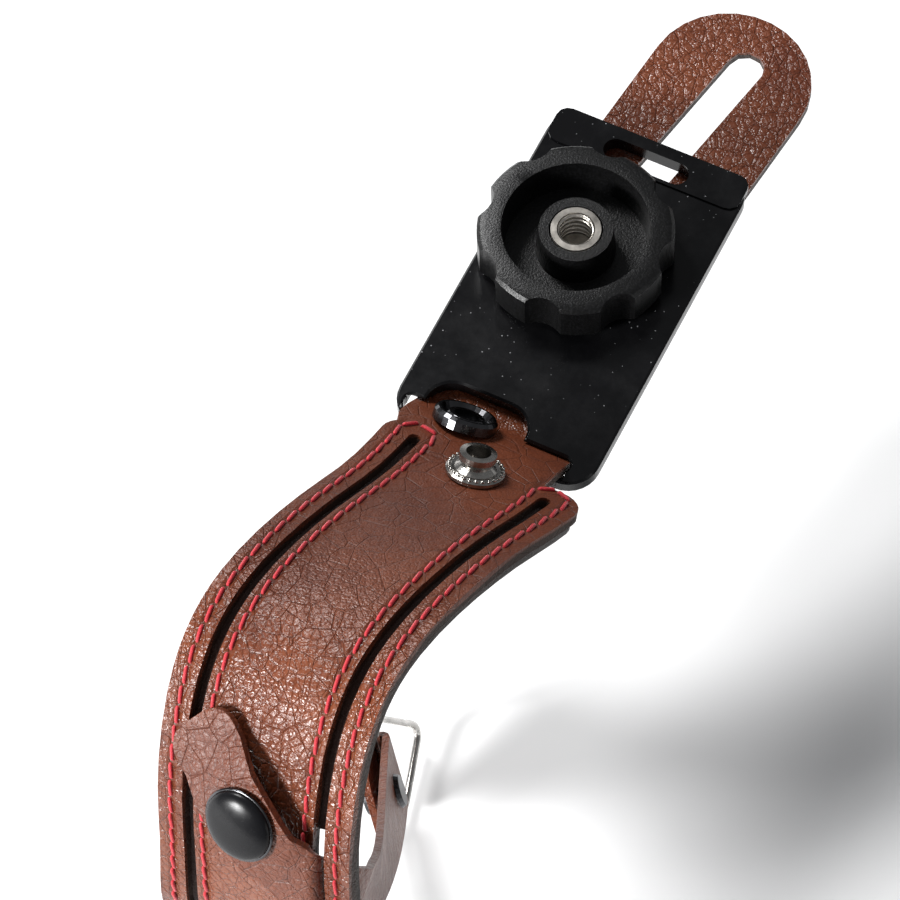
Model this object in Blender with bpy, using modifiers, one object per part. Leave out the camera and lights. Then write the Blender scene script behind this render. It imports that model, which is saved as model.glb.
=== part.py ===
# Camera hand grip strap: base plate with a thumb wheel, broad leather panel, belt and wire ring.
# Metres, +Z up. Origin on the face that lies against the camera, under the centre of the base plate.
# +X runs along the plate to its strap slot. Distances along the leather (s) start at the top of the
# short rise behind the strap slot: the tongue has s below 0, the hand panel s above 0.
# w is the distance across the leather and h the height above its middle surface.

from math import atan2, cos, pi, radians, sin

import bmesh
import bpy
import numpy as np
from mathutils import Matrix, Vector

# Fits
GAP = 0.0003
SLIDE_GAP = 0.0008

# Leather
TONGUE_THICKNESS = 0.0020
LINING_THICKNESS = 0.0016
BELT_THICKNESS = 0.0014
PANEL_WIDTH = 0.0390
TONGUE_WIDTH = 0.0300
TONGUE_OFFSET = -0.0040
TONGUE_END = -0.1062
PANEL_END = 0.1500
SHOULDER_START = 0.0045
SHOULDER_RADIUS = 0.0050
PANEL_END_RADIUS = 0.0150
SLOT_OFFSET = 0.0133
SLOT_WIDTH = 0.0023
SLOT_START = 0.0080
RIGHT_LAG = 0.0030
SLOT_END = 0.1400
LINING_MARGIN = 0.0006
LINING_SLOT_WIDTH = 0.0060
LINING_SLOT_END = 0.1420
SCREW_SLOT_START = -0.0955
SCREW_SLOT_PAST = 0.0010
SCREW_SLOT_SHIFT = 0.0010
SCREW_SLOT_WIDTH = 0.0068

# Base plate
PLATE_LENGTH = 0.0710
PLATE_WIDTH = 0.0385
PLATE_THICKNESS = 0.0030
PLATE_CORNER = 0.0058
PLATE_EDGE = 0.0004
LAND_LENGTH = 0.0079
LAND_HEIGHT = 0.0004
LAND_ROOT = 0.0008
LAND_CORNER = 0.0023
STRAP_SLOT_MARGIN = 0.0021
STRAP_SLOT_OPENING = 0.0032
STRAP_SLOT_CORNER = 0.0015
STRAP_SLOT_RIGHT = 0.0146
STRAP_SLOT_LEFT = -0.0174
LOBE_DEPTH = 0.0054
LOBE_RIGHT = 0.0051
LOBE_LEFT = -0.0141
LOBE_CORNER = 0.0050
FAR_SLOT_MARGIN = 0.0050
FAR_SLOT_WIDTH = 0.0045
FAR_SLOT_LENGTH = 0.0165
CUTTER_PAST = 0.0010
SLOT_OVERCUT = 0.0008
UNDER_BEVEL_RUN = 0.00407
UNDER_BEVEL_RISE = 0.00283
OVER_BEVEL_RUN = 0.0021
OVER_BEVEL_DEPTH = 0.0020
STRAP_SLOT_FAR = PLATE_LENGTH / 2 - STRAP_SLOT_MARGIN
STRAP_SLOT_NEAR = STRAP_SLOT_FAR - STRAP_SLOT_OPENING
LOBE_START = STRAP_SLOT_NEAR - LOBE_DEPTH
FAR_SLOT_X = FAR_SLOT_MARGIN - PLATE_LENGTH / 2

# Thumb wheel and screw
WHEEL_X = -0.0077
WHEEL_Y = -0.0030
WHEEL_RADIUS = 0.0175
WHEEL_HEIGHT = 0.0085
WHEEL_LOBES = 8
WHEEL_TURN = radians(28.24)
SCALLOP_RADIUS = 0.0046
SCALLOP_DEPTH = 0.0018
WHEEL_RING = 0.0157
CUP_RADIUS = 0.0132
CUP_FLOOR = 0.0011
HUB_RADIUS = 0.0066
HUB_DROP = 0.0008
INSERT_RADIUS = 0.0045
INSERT_BORE = 0.0030
INSERT_HEIGHT = 0.0058
SCREW_RADIUS = 0.0031
SCREW_HEAD_HEIGHT = 0.0014
SCREW_REACH = 0.0048
CLIP_RADIUS = 0.0050
CLIP_THICKNESS = 0.0006

# Snap fasteners
STUD_S = 0.0125
STUD_RADIUS = 0.0052
STUD_HEIGHT = 0.0042
POST_RADIUS = 0.0033
RIVET_RADIUS = 0.0042
RIVET_SHANK = 0.0015
SOCKET_S = -0.0012
SOCKET_W = -0.0084
SOCKET_RADIUS = 0.0058
SOCKET_HEIGHT = 0.0022
SOCKET_DISH = 0.0040
SOCKET_BORE = 0.0022
CAP_RADIUS = 0.0064
CAP_HEIGHT = 0.0026

# Belt and ring
BELT_WIDTH = 0.0140
TAB_S = 0.0975
TAB_W = 0.0008
TAB_ANGLE = radians(46)
TAB_REACH = 0.0185
TAB_RISE = 0.0022
TAB_RAMP = 0.0070
FOLD_RADIUS = 0.0012
BELT_RETURN = 0.0150
BELT_END_CORNER = 0.0030
BELT_LEAVES = 0.14
BELT_ARRIVES = 0.45
FREE_BLEND = 0.0090
SLOT_EDGE = 0.0022
LINING_SLOT_BEFORE = 0.0015
TAB_CORNER = 0.0045
RIVET_HEAD = 0.0008
BELT_RIVET_MARGIN = 0.0060
TAB_STATION = 0.0030
FREE_STATION = 0.0045
RING_BASE = (-0.40, -0.45, 0.80)
RING_LUG = (-0.0130, 0.0010, -0.0100)
RING_WIDTH = 0.0228
RING_DEPTH = 0.0160
RING_WIRE = 0.0007
RING_BEND = 0.0022
RING_AHEAD = 0.0355
RING_SIDE = -0.0040
RING_DROP = 0.0600

# Stitching
STITCH_RADIUS = 0.00025
STITCH_GAP = 0.0002
STITCH_END_MARGIN = 0.0070
STITCH_INNER = 0.0104
STITCH_OUTER = 0.0168

# Slope of the leather in degrees, at distances s in millimetres: flat under the plate, a rise
# through its slot, an arch over the hand, and the curl of the free end
BEND_START = -9.79
RISE_START = -6.65
RISE_SLOPE = 45.0
SLOPES = ((-1, 45), (3, 33), (12, 30.5), (25, 30.8), (40, 25.8), (60, 7.8), (80, -41),
          (100, -63.6), (120, -82), (130, -97), (140, -119), (150, -140), (160, -152), (176, -160))
HEADINGS = ((-110, -6.5), (-60, -6.5), (-15, 0), (0, 0), (30, -4.8), (112, -4.8), (140, 4), (200, 4))
TILTS = ((-110, 0), (0, 0), (30, 12.4), (104, 12.4), (140, -2), (200, -2))
RISE_TOP = (STRAP_SLOT_FAR + 0.0011, 0.0032, 0.0069)
RING_CENTRE = (RISE_TOP[0] + RING_AHEAD, RING_SIDE, -RING_DROP)
STATION = 0.0005
SPINE_PAST = 0.0040
SPINE_END = 0.1760
TURN_START = -0.0600
FLAT_END = -0.0100
TONGUE_STATION = 0.0100


def hermite(knots, x):
    """Smooth curve through the knots."""
    table = np.array(knots, float)
    slopes = np.gradient(table[:, 1], table[:, 0])
    i = np.clip(np.searchsorted(table[:, 0], x) - 1, 0, len(table) - 2)
    width = table[i + 1, 0] - table[i, 0]
    t = np.clip((x - table[i, 0]) / width, 0, 1)
    start = (2 * t**3 - 3 * t**2 + 1) * table[i, 1] + (t**3 - 2 * t**2 + t) * width * slopes[i]
    end = (3 * t**2 - 2 * t**3) * table[i + 1, 1] + (t**3 - t**2) * width * slopes[i + 1]
    return start + end


def eased(knots, x):
    """Steps between the knots with a smooth start and stop."""
    table = np.array(knots, float)
    i = np.clip(np.searchsorted(table[:, 0], x) - 1, 0, len(table) - 2)
    t = np.clip((x - table[i, 0]) / (table[i + 1, 0] - table[i, 0]), 0, 1)
    return table[i, 1] + (table[i + 1, 1] - table[i, 1]) * t * t * (3 - 2 * t)


def unit(v):
    return v / np.linalg.norm(v, axis=-1, keepdims=True)


class Spine:
    """Middle line of the leather with its directions along, across and outward."""

    def __init__(self):
        mm = np.arange(TONGUE_END - SPINE_PAST, SPINE_END, STATION) * 1000
        slope = np.where(mm < BEND_START, 0.0, hermite(SLOPES, mm))
        bend = (mm >= BEND_START) & (mm < RISE_START)
        slope[bend] = RISE_SLOPE * (mm[bend] - BEND_START) / (RISE_START - BEND_START)
        slope[(mm >= RISE_START) & (mm < SLOPES[0][0])] = RISE_SLOPE
        slope = np.radians(slope)
        heading = np.radians(eased(HEADINGS, mm))
        tilt = np.radians(eased(TILTS, mm))
        self.s = mm / 1000
        self.across = np.stack([-np.sin(heading) * np.cos(tilt), np.cos(heading) * np.cos(tilt),
                                np.sin(tilt)], 1)
        level = unit(np.array([1.0, 0, 0]) - self.across[:, :1] * self.across)
        up = np.cross(level, self.across)
        self.along = np.cos(slope)[:, None] * level + np.sin(slope)[:, None] * up
        self.out = np.cross(self.along, self.across)
        middle = np.zeros_like(self.along)
        middle[1:] = np.cumsum((self.along[1:] + self.along[:-1]) / 2 * STATION, 0)
        start = np.argmin(abs(self.s))
        self.middle = middle - middle[start] + np.array(RISE_TOP)

    def read(self, rows, s):
        return np.array([np.interp(s, self.s, rows[:, k]) for k in range(3)])

    def frame(self, s):
        return [self.read(rows, s) for rows in (self.middle, self.along, self.across, self.out)]

    def place(self, s, w, h):
        middle, _, across, out = self.frame(s)
        return middle + w * across + h * unit(out)


SPINE = Spine()


# Scene helpers

def clear_scene():
    for item in list(bpy.data.objects):
        bpy.data.objects.remove(item, do_unlink=True)


def new_collection(name):
    collection = bpy.data.collections.new(name)
    bpy.context.scene.collection.children.link(collection)
    return collection


clear_scene()
PARTS = new_collection("camera_hand_grip_strap")
CUTTERS = new_collection("cutters")


def material(name, colour, roughness, metallic):
    made = bpy.data.materials.new(name)
    made.use_nodes = True
    shader = made.node_tree.nodes["Principled BSDF"]
    shader.inputs["Base Color"].default_value = (*colour, 1)
    shader.inputs["Roughness"].default_value = roughness
    shader.inputs["Metallic"].default_value = metallic
    return made


LEATHER = material("brown_leather", (0.22, 0.075, 0.04), 0.5, 0)
SUEDE = material("dark_suede", (0.03, 0.02, 0.018), 0.95, 0)
BLACK_METAL = material("black_enamel", (0.01, 0.01, 0.012), 0.2, 0.3)
WHEEL_METAL = material("matte_black", (0.012, 0.012, 0.013), 0.5, 0.2)
NICKEL = material("nickel", (0.7, 0.68, 0.64), 0.25, 1)
DARK_NICKEL = material("dark_nickel", (0.1, 0.1, 0.11), 0.25, 1)
THREAD = material("red_thread", (0.6, 0.01, 0.03), 0.6, 0)


def add_object(name, mesh, look=None, collection=PARTS):
    item = bpy.data.objects.new(name, mesh)
    collection.objects.link(item)
    if look:
        mesh.materials.clear()
        mesh.materials.append(look)
    return item


def mesh_of(item):
    """Takes the evaluated mesh of an object and removes the object."""
    graph = bpy.context.evaluated_depsgraph_get()
    mesh = bpy.data.meshes.new_from_object(item.evaluated_get(graph))
    mesh.transform(item.matrix_world)
    bpy.data.objects.remove(item, do_unlink=True)
    return mesh


def face_outward(shape):
    """Makes the faces agree and point out of the solid."""
    bmesh.ops.recalc_face_normals(shape, faces=shape.faces)
    if shape.calc_volume(signed=True) < 0:
        bmesh.ops.reverse_faces(shape, faces=shape.faces)


def slab(loops, bottom, top, edge=0.0):
    """Flat plate between two heights: the first loop is its outline, the others are its holes."""
    curve = bpy.data.curves.new("outline", "CURVE")
    curve.dimensions = "2D"
    curve.fill_mode = "BOTH"
    curve.extrude = (top - bottom) / 2 - edge
    curve.bevel_depth = edge
    curve.bevel_resolution = 0
    curve.offset = -edge
    for loop in loops:
        spline = curve.splines.new("POLY")
        spline.points.add(len(loop) - 1)
        for point, (x, y) in zip(spline.points, loop):
            point.co = (x, y, 0, 1)
        spline.use_cyclic_u = True
    item = bpy.data.objects.new("outline", curve)
    PARTS.objects.link(item)
    item.location = (0, 0, (top + bottom) / 2)
    bpy.context.view_layer.update()
    mesh = mesh_of(item)
    shape = bmesh.new()
    shape.from_mesh(mesh)
    bmesh.ops.remove_doubles(shape, verts=shape.verts, dist=1e-6)
    face_outward(shape)
    shape.to_mesh(mesh)
    shape.free()
    return mesh


def arc(x, y, radius, start, end, steps=6):
    turns = [radians(start + (end - start) * i / steps) for i in range(steps + 1)]
    return [(x + radius * cos(a), y + radius * sin(a)) for a in turns]


def rounded_box(x0, x1, y0, y1, radius, steps=6):
    corners = ((x1, y1, 0), (x0, y1, 90), (x0, y0, 180), (x1, y0, 270))
    points = []
    for x, y, turn in corners:
        cx = x - radius if x == x1 else x + radius
        cy = y - radius if y == y1 else y + radius
        points += arc(cx, cy, radius, turn, turn + 90, steps)
    return points


def turned(name, profile, look, steps=32, place=None, collection=PARTS):
    """Turns a profile of (radius, height) points, listed top to bottom on the outside."""
    mesh = bpy.data.meshes.new(name)
    shape = bmesh.new()
    verts = [shape.verts.new((r, 0, z)) for r, z in profile]
    on_axis = [r == 0 for r, _ in profile]
    pairs = [(a, b) for a, b in zip(range(len(verts)), list(range(1, len(verts))) + [0])
             if not (on_axis[a] and on_axis[b])]
    for a, b in pairs:
        shape.edges.new((verts[a], verts[b]))
    shape.to_mesh(mesh)
    shape.free()
    item = add_object(name, mesh, look, collection)
    screw = item.modifiers.new("turn", "SCREW")
    screw.steps = steps
    screw.render_steps = steps
    screw.use_merge_vertices = True
    screw.merge_threshold = 0.00001
    screw.use_smooth_shade = True
    if place is not None:
        item.matrix_world = place
    return item


def cut(item, cutter, operation="DIFFERENCE"):
    """Takes the cutter out of an object, or joins it on."""
    cutter.hide_render = True
    cutter.display_type = "WIRE"
    step = item.modifiers.new("cut", "BOOLEAN")
    step.operation = operation
    step.solver = "EXACT"
    step.object = cutter


def panel_place(s, w, h):
    """Matrix whose Z axis stands out of the leather at the given place."""
    _, along, _, out = SPINE.frame(s)
    along = unit(along)
    out = unit(out)
    side = np.cross(out, along)
    turn = Matrix([[along[k], side[k], out[k], 0] for k in range(3)] + [[0, 0, 0, 1]])
    return Matrix.Translation(SPINE.place(s, w, h)) @ turn


def cuts(stations, direction=(1, 0)):
    return [(station, direction) for station in stations]


def bend(mesh, lines, mapping):
    """Cuts a flat slab along lines square to their directions and bends it with the mapping."""
    shape = bmesh.new()
    shape.from_mesh(mesh)
    bmesh.ops.dissolve_limit(shape, angle_limit=0.01, verts=shape.verts, edges=shape.edges)
    for station, direction in lines:
        bmesh.ops.bisect_plane(shape, geom=shape.verts[:] + shape.edges[:] + shape.faces[:],
                               dist=1e-6, plane_co=(station * direction[0], station * direction[1], 0),
                               plane_no=(direction[0], direction[1], 0))
    bmesh.ops.triangulate(shape, faces=shape.faces)
    for vert in shape.verts:
        vert.co = Vector(mapping(*vert.co))
    face_outward(shape)
    shape.to_mesh(mesh)
    shape.free()
    return mesh


def bend_stations(first, last):
    """Places along the leather where it bends, closer together where it bends more."""
    stops = [first]
    while stops[-1] < last:
        slope_now = SPINE.frame(stops[-1])[1]
        step = 0.0012
        while step < 0.006 and np.dot(SPINE.frame(stops[-1] + step)[1], slope_now) > cos(radians(7)):
            step += 0.0004
        stops.append(stops[-1] + step)
    return stops[1:-1]


# Leather

def panel_outline(margin, start):
    """Rounded panel outline, s along and w across, drawn in by a margin."""
    side = PANEL_WIDTH / 2 - margin
    end = PANEL_END - margin
    radius = PANEL_END_RADIUS
    points = arc(end - radius, side - radius, radius, 0, 90)
    points += arc(start + RIGHT_LAG + SHOULDER_RADIUS, side - SHOULDER_RADIUS, SHOULDER_RADIUS, 90, 180)
    points += arc(start + SHOULDER_RADIUS, SHOULDER_RADIUS - side, SHOULDER_RADIUS, 180, 270)
    points += arc(end - radius, radius - side, radius, 270, 360)
    return points


def leather_outline():
    """Panel and tongue in one outline."""
    points = panel_outline(0, SHOULDER_START)
    half = TONGUE_WIDTH / 2
    right = TONGUE_OFFSET + half
    left = TONGUE_OFFSET - half
    split = len(points) // 2
    tongue = [(SHOULDER_START + RIGHT_LAG, right)]
    tongue += arc(TONGUE_END + half, TONGUE_OFFSET, half, 90, 270, 14)
    tongue += [(SHOULDER_START - 0.0012, left)]
    upper = [p for p in points[:split] if p[1] > right or p[0] > SHOULDER_START + RIGHT_LAG + 0.001]
    lower = [p for p in points[split:] if p[1] < left or p[0] > SHOULDER_START + 0.001]
    return upper + tongue + lower


def slot_start(side):
    """The right slot and shoulder begin a little later than the left ones."""
    return SLOT_START + (RIGHT_LAG if side > 0 else 0)


def slot_outline(side, width, first, last):
    return rounded_box(first, last, side * SLOT_OFFSET - width / 2, side * SLOT_OFFSET + width / 2,
                       width / 2 - 0.00001, 3)


def hole(x, y, radius, steps=12):
    return [(x + radius * cos(2 * pi * i / steps), y + radius * sin(2 * pi * i / steps))
            for i in range(steps)]


def screw_slot():
    """Slot from near the tongue's end to the camera screw, which it leads round."""
    half = SCREW_SLOT_WIDTH / 2
    at_screw = np.argmin(abs(SPINE.middle[:, 0] - WHEEL_X))
    drift = WHEEL_Y - SPINE.middle[at_screw, 1]
    end = SPINE.s[at_screw] + SCREW_SLOT_PAST
    side = TONGUE_OFFSET + SCREW_SLOT_SHIFT
    return arc(end, drift, half, -90, 90, 5) + arc(SCREW_SLOT_START, side, half, 90, 270, 5)


RIVET_HOLE = RIVET_SHANK + GAP


def build_leather():
    holes = [slot_outline(side, SLOT_WIDTH, slot_start(side), SLOT_END) for side in (-1, 1)]
    holes.append(hole(STUD_S, 0, RIVET_HOLE))
    holes.append(hole(SOCKET_S, SOCKET_W, RIVET_HOLE))
    holes.append(hole(TAB_S, TAB_W, RIVET_HOLE))
    holes.append(screw_slot())
    half = TONGUE_THICKNESS / 2
    mesh = slab([leather_outline()] + holes, -half, half)
    stations = list(np.arange(TURN_START, FLAT_END - STATION, TONGUE_STATION))
    stations += bend_stations(FLAT_END, PANEL_END)
    bend(mesh, cuts(stations), SPINE.place)
    return add_object("outer_leather", mesh, LEATHER)


def build_lining():
    """Lining behind the panel, open only where the belt comes through and at the rivets."""
    top = -TONGUE_THICKNESS / 2 - GAP
    start = SHOULDER_START + LINING_MARGIN
    belt_slot = rounded_box(BELT_SLOT_START, LINING_SLOT_END, SLOT_OFFSET - LINING_SLOT_WIDTH / 2,
                            SLOT_OFFSET + LINING_SLOT_WIDTH / 2, LINING_SLOT_WIDTH / 2 - 0.00001, 4)
    holes = [belt_slot, hole(STUD_S, 0, RIVET_HOLE), hole(TAB_S, TAB_W, RIVET_HOLE)]
    mesh = slab([panel_outline(LINING_MARGIN, start)] + holes, top - LINING_THICKNESS, top)
    bend(mesh, cuts(bend_stations(start, PANEL_END)), SPINE.place)
    return add_object("inner_lining", mesh, SUEDE)


# Belt

BELT_CORE = RING_WIRE + GAP + BELT_THICKNESS / 2
TAB_ALONG = np.array([cos(TAB_ANGLE), sin(TAB_ANGLE)])
TAB_ACROSS = np.array([-sin(TAB_ANGLE), cos(TAB_ANGLE)])
FOLD_W = SLOT_OFFSET - FOLD_RADIUS
FOLD_RUN = (FOLD_W - TAB_W) / sin(TAB_ANGLE)
FOLD_S = TAB_S + FOLD_RUN * cos(TAB_ANGLE)
HALF_BELT = BELT_WIDTH / 2
BELT_SPREAD = HALF_BELT / sin(TAB_ANGLE)
BELT_SLOT_START = FOLD_S - BELT_SPREAD - LINING_SLOT_BEFORE
BELT_HEIGHT = TONGUE_THICKNESS / 2 + 2 * STITCH_GAP + 2 * STITCH_RADIUS + BELT_THICKNESS / 2
FOLD_END = FOLD_RADIUS * pi / 2 + SLOT_EDGE
FREE_START = FOLD_RUN + (HALF_BELT * cos(TAB_ANGLE) + FOLD_END) / sin(TAB_ANGLE)


def on_panel(t, v, h):
    """Belt lying on the panel, rising over the snap, and turning down through the slot."""
    s, w = np.array([TAB_S, TAB_W]) + t * TAB_ALONG + v * TAB_ACROSS
    slope = min(1, max(0, (STUD_RADIUS + TAB_RAMP - abs(t)) / TAB_RAMP))
    rise = TAB_RISE * slope * slope * (3 - 2 * slope)
    height = BELT_HEIGHT + h + rise
    past = w - FOLD_W
    if past <= 0:
        return SPINE.place(s, w, height)
    turn = min(past / FOLD_RADIUS, pi / 2)
    drop = max(0, past - FOLD_RADIUS * pi / 2)
    w_turned = FOLD_W + (FOLD_RADIUS + h) * sin(turn)
    h_turned = BELT_HEIGHT - FOLD_RADIUS + (FOLD_RADIUS + h) * cos(turn)
    down = unit(SPINE.frame(FOLD_S)[3])
    return SPINE.place(s, w_turned, h_turned) - drop * down


def belt_route():
    """Free stretch from the slot to the ring: centres, directions and widths."""
    start = on_panel(FREE_START, 0, 0)
    ahead = unit(on_panel(FREE_START + 0.001, 0, 0) - start)
    width = unit(on_panel(FREE_START, 0.001, 0) - start)
    base = unit(np.array(RING_BASE))
    end = np.array(RING_CENTRE)
    inward = end - start
    arrive = unit(inward - np.dot(inward, base) * base)
    normal = unit(np.cross(arrive, base))
    end = end + normal * BELT_CORE
    reach = np.linalg.norm(end - start)
    a, b = start + ahead * reach * BELT_LEAVES, end - arrive * reach * BELT_ARRIVES
    steps = np.linspace(0, 1, 41)[:, None]
    centres = ((1 - steps)**3 * start + 3 * (1 - steps)**2 * steps * a
               + 3 * (1 - steps) * steps**2 * b + steps**3 * end)
    ahead_all = unit(np.gradient(centres, axis=0))
    blend = steps * steps * (3 - 2 * steps)
    widths = unit(width * (1 - blend) + base * blend)
    widths = unit(widths - np.sum(widths * ahead_all, 1)[:, None] * ahead_all)
    runs = np.concatenate([[0], np.cumsum(np.linalg.norm(np.diff(centres, axis=0), axis=1))])
    return runs, centres, ahead_all, widths, arrive, normal, base


ROUTE = belt_route()
FREE_LENGTH = ROUTE[0][-1]


def read_row(rows, run):
    return np.array([np.interp(run, ROUTE[0], rows[:, k]) for k in range(3)])


def off_panel(t, v, h):
    """Belt from the slot to the ring, round its wire and back."""
    runs, centres, ahead, widths, arrive, normal, base = ROUTE
    run = t - FREE_START
    if run <= FREE_LENGTH:
        width = unit(read_row(widths, max(run, 0)))
        direction = unit(read_row(ahead, max(run, 0)))
        out = unit(np.cross(direction, width))
        extra = min(run, 0) * direction
        return read_row(centres, max(run, 0)) + extra + v * width + h * out
    end = centres[-1]
    past = run - FREE_LENGTH
    turn = min(past / BELT_CORE, pi)
    back = max(0, past - BELT_CORE * pi)
    centre = end - normal * BELT_CORE
    radial = normal * cos(turn) + arrive * sin(turn)
    return centre + (BELT_CORE + h) * radial + v * base - back * arrive


def belt_map(t, v, h):
    if t < FREE_START:
        return on_panel(t, v, h)
    if t > FREE_START + FREE_BLEND:
        return off_panel(t, v, h)
    blend = (t - FREE_START) / FREE_BLEND
    blend = blend * blend * (3 - 2 * blend)
    return (1 - blend) * on_panel(t, v, h) + blend * off_panel(t, v, h)


BELT_END = FREE_START + FREE_LENGTH + BELT_CORE * pi + BELT_RETURN
BELT_RIVET_T = BELT_END - BELT_RIVET_MARGIN
FIRST_LAYER_T = FREE_START + FREE_LENGTH - (BELT_RETURN - BELT_RIVET_MARGIN)


def build_belt():
    half = BELT_THICKNESS / 2
    corner, last = TAB_CORNER, BELT_END_CORNER
    outline = arc(BELT_END - last, HALF_BELT - last, last, 0, 90, 3)
    outline += arc(-TAB_REACH + corner, HALF_BELT - corner, corner, 90, 180, 5)
    outline += arc(-TAB_REACH + corner, corner - HALF_BELT, corner, 180, 270, 5)
    outline += arc(BELT_END - last, last - HALF_BELT, last, 270, 360, 3)
    holes = [hole(t, 0, RIVET_HOLE) for t in (0, FIRST_LAYER_T, BELT_RIVET_T)]
    mesh = slab([outline] + holes, -half, half)
    fold_lines = [FOLD_RUN * sin(TAB_ANGLE) + FOLD_RADIUS * pi / 2 * i / 3 for i in range(4)]
    tab_steps = list(np.arange(0.0010 - TAB_REACH, FREE_START, TAB_STATION))
    free_steps = list(np.arange(FREE_START, FREE_START + FREE_LENGTH, FREE_STATION))
    wrap_steps = [FREE_START + FREE_LENGTH + BELT_CORE * pi * i / 6 for i in range(7)]
    lines = cuts(fold_lines, (sin(TAB_ANGLE), cos(TAB_ANGLE)))
    lines += cuts(tab_steps + free_steps + wrap_steps)
    lines += cuts([-HALF_BELT / 3, HALF_BELT / 3], (0, 1))
    bend(mesh, lines, belt_map)
    return add_object("belt_strap", mesh, LEATHER)


def build_belt_rivet():
    """Rivet that closes the belt's loop round the ring."""
    first = belt_map(FIRST_LAYER_T, 0, 0)
    second = belt_map(BELT_RIVET_T, 0, 0)
    axis = unit(first - second)
    middle = (first + second) / 2
    reach = np.linalg.norm(first - second) / 2 + BELT_THICKNESS / 2 + GAP
    side = unit(np.cross(axis, np.array(RING_BASE)))
    other = np.cross(axis, side)
    turn = Matrix([[side[k], other[k], axis[k], middle[k]] for k in range(3)] + [[0, 0, 0, 1]])
    head = RIVET_HEAD
    turned("belt_rivet", [(0, reach + head), (RIVET_RADIUS - 0.0014, reach + head),
                          (RIVET_RADIUS - 0.0010, reach), (RIVET_SHANK - GAP, reach),
                          (RIVET_SHANK - GAP, -reach), (RIVET_RADIUS - 0.0010, -reach),
                          (RIVET_RADIUS - 0.0014, -reach - head), (0, -reach - head)],
           DARK_NICKEL, 20, turn)


# Metal parts

PLATE_BOTTOM = TONGUE_THICKNESS + GAP
PLATE_TOP = PLATE_BOTTOM + PLATE_THICKNESS
WHEEL_BOTTOM = PLATE_TOP + SLIDE_GAP
WHEEL_TOP = WHEEL_BOTTOM + WHEEL_HEIGHT


def strap_slot_outline():
    """Straight slot for the leather with a lobe for the snap socket."""
    r = STRAP_SLOT_CORNER
    points = arc(STRAP_SLOT_FAR - r, STRAP_SLOT_RIGHT - r, r, 0, 90, 4)
    points += arc(STRAP_SLOT_NEAR + r, STRAP_SLOT_RIGHT - r, r, 90, 180, 4)
    points += [(STRAP_SLOT_NEAR, LOBE_RIGHT)]
    points += arc(LOBE_START + LOBE_CORNER, LOBE_RIGHT - LOBE_CORNER, LOBE_CORNER, 90, 180)
    points += arc(LOBE_START + LOBE_CORNER, LOBE_LEFT + LOBE_CORNER, LOBE_CORNER, 180, 270)
    points += [(STRAP_SLOT_NEAR, LOBE_LEFT)]
    points += arc(STRAP_SLOT_NEAR + r, STRAP_SLOT_LEFT + r, r, 180, 270, 4)
    points += arc(STRAP_SLOT_FAR - r, STRAP_SLOT_LEFT + r, r, 270, 360, 4)
    return points


def wedge(name, corners, y0, y1):
    """Prism along Y with the given (x, z) corners, used as a cutter."""
    mesh = slab([[(x, z) for x, z in corners]], -(y1 - y0) / 2, (y1 - y0) / 2)
    item = add_object(name, mesh, None, CUTTERS)
    item.matrix_world = Matrix.Translation((0, (y0 + y1) / 2, 0)) @ Matrix.Rotation(pi / 2, 4, "X")
    return item


def build_plate():
    half_x, half_y = PLATE_LENGTH / 2, PLATE_WIDTH / 2
    outline = rounded_box(-half_x, half_x, -half_y, half_y, PLATE_CORNER, 7)
    far = rounded_box(FAR_SLOT_X - FAR_SLOT_WIDTH / 2, FAR_SLOT_X + FAR_SLOT_WIDTH / 2,
                      -FAR_SLOT_LENGTH / 2, FAR_SLOT_LENGTH / 2, FAR_SLOT_WIDTH / 2 - 0.00001, 5)
    bore = hole(WHEEL_X, WHEEL_Y, SCREW_RADIUS + GAP, 24)
    mesh = slab([outline, strap_slot_outline(), far, bore], PLATE_BOTTOM, PLATE_TOP, PLATE_EDGE)
    plate = add_object("base_plate", mesh, BLACK_METAL)
    low, top = PLATE_BOTTOM - CUTTER_PAST, PLATE_TOP + CUTTER_PAST
    near, far_wall = STRAP_SLOT_NEAR + SLOT_OVERCUT, STRAP_SLOT_FAR - SLOT_OVERCUT
    cut(plate, wedge("slot_bevel_under", [(STRAP_SLOT_NEAR - UNDER_BEVEL_RUN, low), (near, low),
                                          (near, PLATE_BOTTOM + UNDER_BEVEL_RISE)],
                     STRAP_SLOT_LEFT, STRAP_SLOT_RIGHT))
    cut(plate, wedge("slot_bevel_over", [(far_wall, top), (far_wall, PLATE_TOP - OVER_BEVEL_DEPTH),
                                         (STRAP_SLOT_FAR + OVER_BEVEL_RUN, top)],
                     STRAP_SLOT_LEFT, STRAP_SLOT_RIGHT))
    recess = turned("clip_recess", [(0, PLATE_BOTTOM + CLIP_THICKNESS + 2 * GAP),
                                    (CLIP_RADIUS + GAP, PLATE_BOTTOM + CLIP_THICKNESS + 2 * GAP),
                                    (CLIP_RADIUS + GAP, low), (0, low)],
                    None, 24, Matrix.Translation((WHEEL_X, WHEEL_Y, 0)), CUTTERS)
    cut(plate, recess)
    land = add_object("land", slab([rounded_box(PLATE_EDGE - half_x, LAND_LENGTH - half_x,
                                                PLATE_EDGE - half_y, half_y - PLATE_EDGE,
                                                LAND_CORNER, 3), far],
                                   PLATE_TOP - LAND_ROOT, PLATE_TOP + LAND_HEIGHT), None, CUTTERS)
    cut(plate, land, "UNION")


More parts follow.
